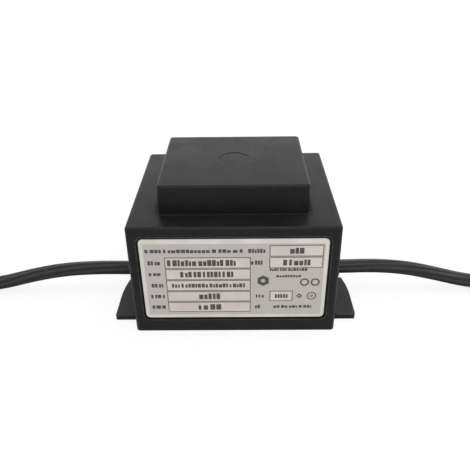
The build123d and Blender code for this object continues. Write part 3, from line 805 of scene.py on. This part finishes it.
def make_resin():
    """Poured resin: level, with slow waves and a few pin holes where bubbles came up."""
    made, tree, shader = material("resin", Coat_Weight=0.3)
    waves = noise(tree, size=18.0)
    tone = blend_colours(tree, waves, colour(0.012, 0.012, 0.014), colour(0.03, 0.03, 0.032))
    holes = use_group(tree, dust, Spacing=7.0, Speck_Size=0.06)["Mask"]
    pitted = calculate(tree, "ADD", waves, multiply(tree, holes, -PIN_HOLE_DEPTH))
    join(tree, shader["Base Color"], tone)
    roughen(tree, shader, noise(tree, size=6.0, detail=3.0), smooth=0.14, rough=0.3)
    emboss(tree, shader, pitted, depth=0.25)
    return made


def make_core_steel():
    """The edges of the core's stamped sheets, with patches of light rust."""
    made, tree, shader = material("core_steel", Metallic=1.0)
    sheets = use_group(tree, sheet_edges)
    tone = blend_colours(tree, sheets["Shade"], colour(0.20, 0.21, 0.23), colour(0.36, 0.37, 0.39))
    rust = spread(tree, noise(tree, size=5.0, detail=4.0), 0.0, MOST_RUST, reach=RUST_PATCH)
    join(tree, shader["Base Color"], blend_colours(tree, rust, tone, colour(0.22, 0.12, 0.07)))
    roughen(tree, shader, noise(tree, size=2.0, detail=3.0), smooth=0.35, rough=0.55)
    emboss(tree, shader, sheets["Height"], depth=0.06)
    return made


def metal(name, dark, light, roughness):
    """A plain metal with drawn lines and clouded tarnish."""
    made, tree, shader = material(name, Metallic=1.0)
    cloud = spread(tree, noise(tree, size=1.5, detail=3.0), reach=NOISE_MIDDLE)
    scratches = use_group(tree, fine_scratches, Length=3.0, Width=0.08)["Mask"]
    join(tree, shader["Base Color"], blend_colours(tree, cloud, dark, light))
    roughen(tree, shader, cloud, roughness, roughness + TARNISH_DULLNESS, reach=(0.0, 1.0))
    emboss(tree, shader, scratches, depth=0.01)
    return made


def make_copper():
    """Turns of enamelled copper wire."""
    made, tree, shader = material("copper", Metallic=1.0, Coat_Weight=0.8, Coat_Roughness=0.15)
    turns = use_group(tree, wound_turns, Pitch=0.5)
    tone = blend_colours(tree, turns["Shade"], colour(0.46, 0.15, 0.06), colour(0.68, 0.27, 0.12))
    join(tree, shader["Base Color"], tone)
    roughen(tree, shader, noise(tree, size=2.0), smooth=0.22, rough=0.36)
    emboss(tree, shader, turns["Height"], depth=0.22)
    return made


def make_winding_tape():
    """Glossy yellow tape, wound in overlapping turns."""
    made, tree, shader = material("winding_tape", Coat_Weight=0.4)
    turns = use_group(tree, wound_turns, Pitch=8.5)
    cloud = noise(tree, size=4.0)
    tone = blend_colours(tree, cloud, colour(0.80, 0.55, 0.06), colour(0.92, 0.72, 0.14))
    join(tree, shader["Base Color"], tone)
    roughen(tree, shader, cloud, smooth=0.2, rough=0.34)
    emboss(tree, shader, calculate(tree, "ADD", turns["Height"], cloud), depth=0.05)
    return made


def wire(name, dark, light):
    """Extruded insulation: smooth, slightly waxy and finely uneven."""
    made, tree, shader = material(name)
    join(tree, shader["Base Color"], blend_colours(tree, noise(tree, size=2.5), dark, light))
    roughen(tree, shader, noise(tree, size=1.2), smooth=0.3, rough=0.45)
    emboss(tree, shader, noise(tree, size=0.3), depth=0.01)
    return made


def make_cord_rubber():
    """A satin rubber sheath with faint lines along it, whose colour is painted darker in the grooves as shade
    and paler on the ridges as a highlight, duller, and darker on its underside with painted shade.
    """
    made, tree, shader = material("cord_rubber", Specular_IOR_Level=0.25)
    skin = use_group(tree, moulded_grain, Grain_Size=0.25)
    lines = use_group(tree, extruded_lines)["Height"]
    # The sheath's lines shade its colour: painted shade along the grooves and a painted highlight along the
    # ridges.
    cloud = multiply(tree, spread(tree, skin["Cloud"], *SHEATH_CLOUD, reach=SHEATH_CLOUD_REACH), lines)
    upward = split(tree, node(tree, "NewGeometry").outputs["Normal"])["Z"]
    # Painted shade on the underside, darker where the surface faces down.
    under = remap(tree, upward, *UNDERSIDE)
    painted_underside_shading = calculate(tree, "SUBTRACT", 1.0, multiply(tree, under, UNDERSIDE_PAINTED_SHADE))
    tone = multiply(tree, cloud, painted_underside_shading)
    body = blend_colours(tree, tone, colour(0.006, 0.006, 0.008), colour(0.036, 0.036, 0.040))
    specks = multiply(tree, use_group(tree, dust, Spacing=2.0)["Mask"], SHEATH_SPECK_COVER)
    satin = spread(tree, skin["Cloud"], *SHEATH_ROUGHNESS)
    fine = multiply(tree, skin["Height"], SHEATH_GRAIN_SHARE)
    join(tree, shader["Base Color"], blend_colours(tree, specks, body, DUST_COLOUR))
    join(tree, shader["Roughness"], calculate(tree, "ADD", satin, multiply(tree, under, UNDERSIDE_DULLNESS)))
    emboss(tree, shader, calculate(tree, "ADD", lines, fine), depth=0.4)
    return made


def film(name, dark, light, roughness, metallic, ground=None):
    """Satin silver film: warm, drawn one way and clouded, with any printed ground inside its margin."""
    made, tree, shader = material(name, Metallic=metallic)
    drawn = use_group(tree, drawn_film)
    tone = blend_colours(tree, spread(tree, drawn["Cloud"], reach=NOISE_MIDDLE), dark, light)
    if ground:
        inside = use_group(tree, inside_margin, Margin=LABEL_MARGIN)["Mask"]
        tone = blend_colours(tree, multiply(tree, inside, GROUND_COVER), tone, ground)
    join(tree, shader["Base Color"], tone)
    roughen(tree, shader, drawn["Height"], roughness - DRAWN_SHEEN, roughness + DRAWN_SHEEN)
    emboss(tree, shader, drawn["Height"], depth=0.004)
    return made


def ink(name, dark, light):
    """Screen-printed ink that covers a little unevenly."""
    made, tree, shader = material(name)
    cloud = spread(tree, noise(tree, size=1.2, detail=3.0))
    join(tree, shader["Base Color"], blend_colours(tree, cloud, dark, light))
    roughen(tree, shader, cloud, smooth=0.45, rough=0.6, reach=(0.0, 1.0))
    return made


MATERIALS = {
    "housing_plastic": make_housing_plastic(),
    "resin": make_resin(),
    "core_steel": make_core_steel(),
    "rivet_steel": metal("rivet_steel", colour(0.42, 0.42, 0.43), colour(0.58, 0.58, 0.59), roughness=0.3),
    "bobbin_plastic": moulded(
        "bobbin_plastic",
        colour(0.52, 0.47, 0.36),
        colour(0.62, 0.57, 0.46),
        roughness=0.42,
        worn_edge_highlight=colour(0.7, 0.65, 0.55),
    ),
    "copper": make_copper(),
    "winding_tape": make_winding_tape(),
    "tinned_metal": metal("tinned_metal", colour(0.60, 0.60, 0.58), colour(0.78, 0.78, 0.75), roughness=0.25),
    "cutout_case": moulded("cutout_case", grey(0.03), grey(0.05), roughness=0.45),
    "wire_brown": wire("wire_brown", colour(0.15, 0.055, 0.02), colour(0.22, 0.085, 0.035)),
    "wire_blue": wire("wire_blue", colour(0.03, 0.13, 0.38), colour(0.05, 0.18, 0.46)),
    "wire_red": wire("wire_red", colour(0.45, 0.02, 0.018), colour(0.55, 0.035, 0.028)),
    "wire_white": wire("wire_white", colour(0.72, 0.71, 0.67), colour(0.82, 0.81, 0.77)),
    "grommet_rubber": moulded(
        "grommet_rubber",
        colour(0.014, 0.014, 0.015),
        colour(0.02, 0.02, 0.021),
        roughness=0.5,
    ),
    "clamp_plastic": moulded(
        "clamp_plastic",
        colour(0.6, 0.58, 0.52),
        colour(0.7, 0.68, 0.62),
        roughness=0.4,
    ),
    "cord_rubber": make_cord_rubber(),
    "tie_plastic": moulded("tie_plastic", grey(0.016), grey(0.026), roughness=0.36),
    "label_film": film(
        "label_film",
        colour(0.625, 0.605, 0.54),
        colour(0.70, 0.68, 0.615),
        roughness=0.42,
        metallic=0.35,
        ground=colour(0.48, 0.442, 0.412),
    ),
    "label_field": film(
        "label_field",
        colour(0.58, 0.53, 0.48),
        colour(0.65, 0.60, 0.545),
        roughness=0.45,
        metallic=0.25,
    ),
    "label_ink": ink("label_ink", colour(0.035, 0.031, 0.029), colour(0.085, 0.077, 0.072)),
}
rule_ink = ink("rule_ink", colour(0.13, 0.118, 0.108), colour(0.20, 0.182, 0.17))


def paint(piece, made):
    """Gives a piece one material."""
    piece.data.materials.clear()
    piece.data.materials.append(made)


for part in frame["record"]["subparts"]:
    paint(frame["nodes"][part["node"]], MATERIALS[part["material_slot"]])
for cord in cords:
    paint(cord, MATERIALS["cord_rubber"])
paint(label_marks, MATERIALS["label_ink"])
paint(label_rules, rule_ink)

# Floor, world and lamps


def seen_directly(tree):
    """1 for what the camera sees, in a reflection too, and 0 for the light that falls on the object."""
    path = node(tree, "LightPath").outputs
    mirrored = calculate(tree, "MAXIMUM", path["Is Glossy Ray"], path["Is Transmission Ray"])
    return calculate(tree, "MAXIMUM", path["Is Camera Ray"], mirrored)


def make_floor():
    """A pale floor that shows nearly white to the camera and in reflections, under the object's shadow."""
    mesh = bpy.data.meshes.new("floor")
    outline = [(x * FLOOR_HALF, y * FLOOR_HALF, 0.0) for x, y in ((-1, -1), (1, -1), (1, 1), (-1, 1))]
    mesh.from_pydata(outline, [], [(0, 1, 2, 3)])
    made, tree, _ = material("floor_paint", Base_Color=grey(0.82), Roughness=0.9)
    white = node(tree, "Emission", Color=grey(1), Strength=FLOOR_WHITE)
    distance = vector_math(tree, "LENGTH", node(tree, "TexCoord").outputs["Object"]).outputs["Value"]
    whiteness = remap(tree, distance, *SHADED_REACH, FLOOR_SHOWN_WHITE, 1.0)
    mixed = node(tree, "MixShader", Fac=multiply(tree, seen_directly(tree), whiteness))
    for index, shader in ((1, tree.nodes["Principled BSDF"]), (2, white)):
        join(tree, mixed.inputs[index], shader.outputs[0])
    join(tree, tree.nodes["Material Output"].inputs["Surface"], mixed.outputs[0])
    mesh.materials.append(made)
    return show(bpy.data.objects.new("floor", mesh))


def make_world():
    """A surround that shows white, and lights the object less than it shows."""
    world = bpy.data.worlds.new("studio")
    world.use_nodes = True
    tree = world.node_tree
    sky = tree.nodes["Background"].inputs
    sky["Color"].default_value = grey(1)
    join(tree, sky["Strength"], remap(tree, seen_directly(tree), 0.0, 1.0, AMBIENT, 1.0))
    return world


def make_softbox(name, spot, target, width, height, watts):
    """A rectangular lamp that faces the target."""
    lamp = bpy.data.lights.new(name, "AREA")
    lamp.shape = "RECTANGLE"
    lamp.size = width
    lamp.size_y = height
    lamp.energy = watts
    made = show(bpy.data.objects.new(name, lamp))
    made.location = spot
    made.rotation_euler = (Vector(target) - Vector(spot)).to_track_quat("-Z", "Y").to_euler()


make_floor()
scene.world = make_world()
for softbox in SOFTBOXES:
    make_softbox(*softbox)

scene.view_settings.view_transform = "Standard"
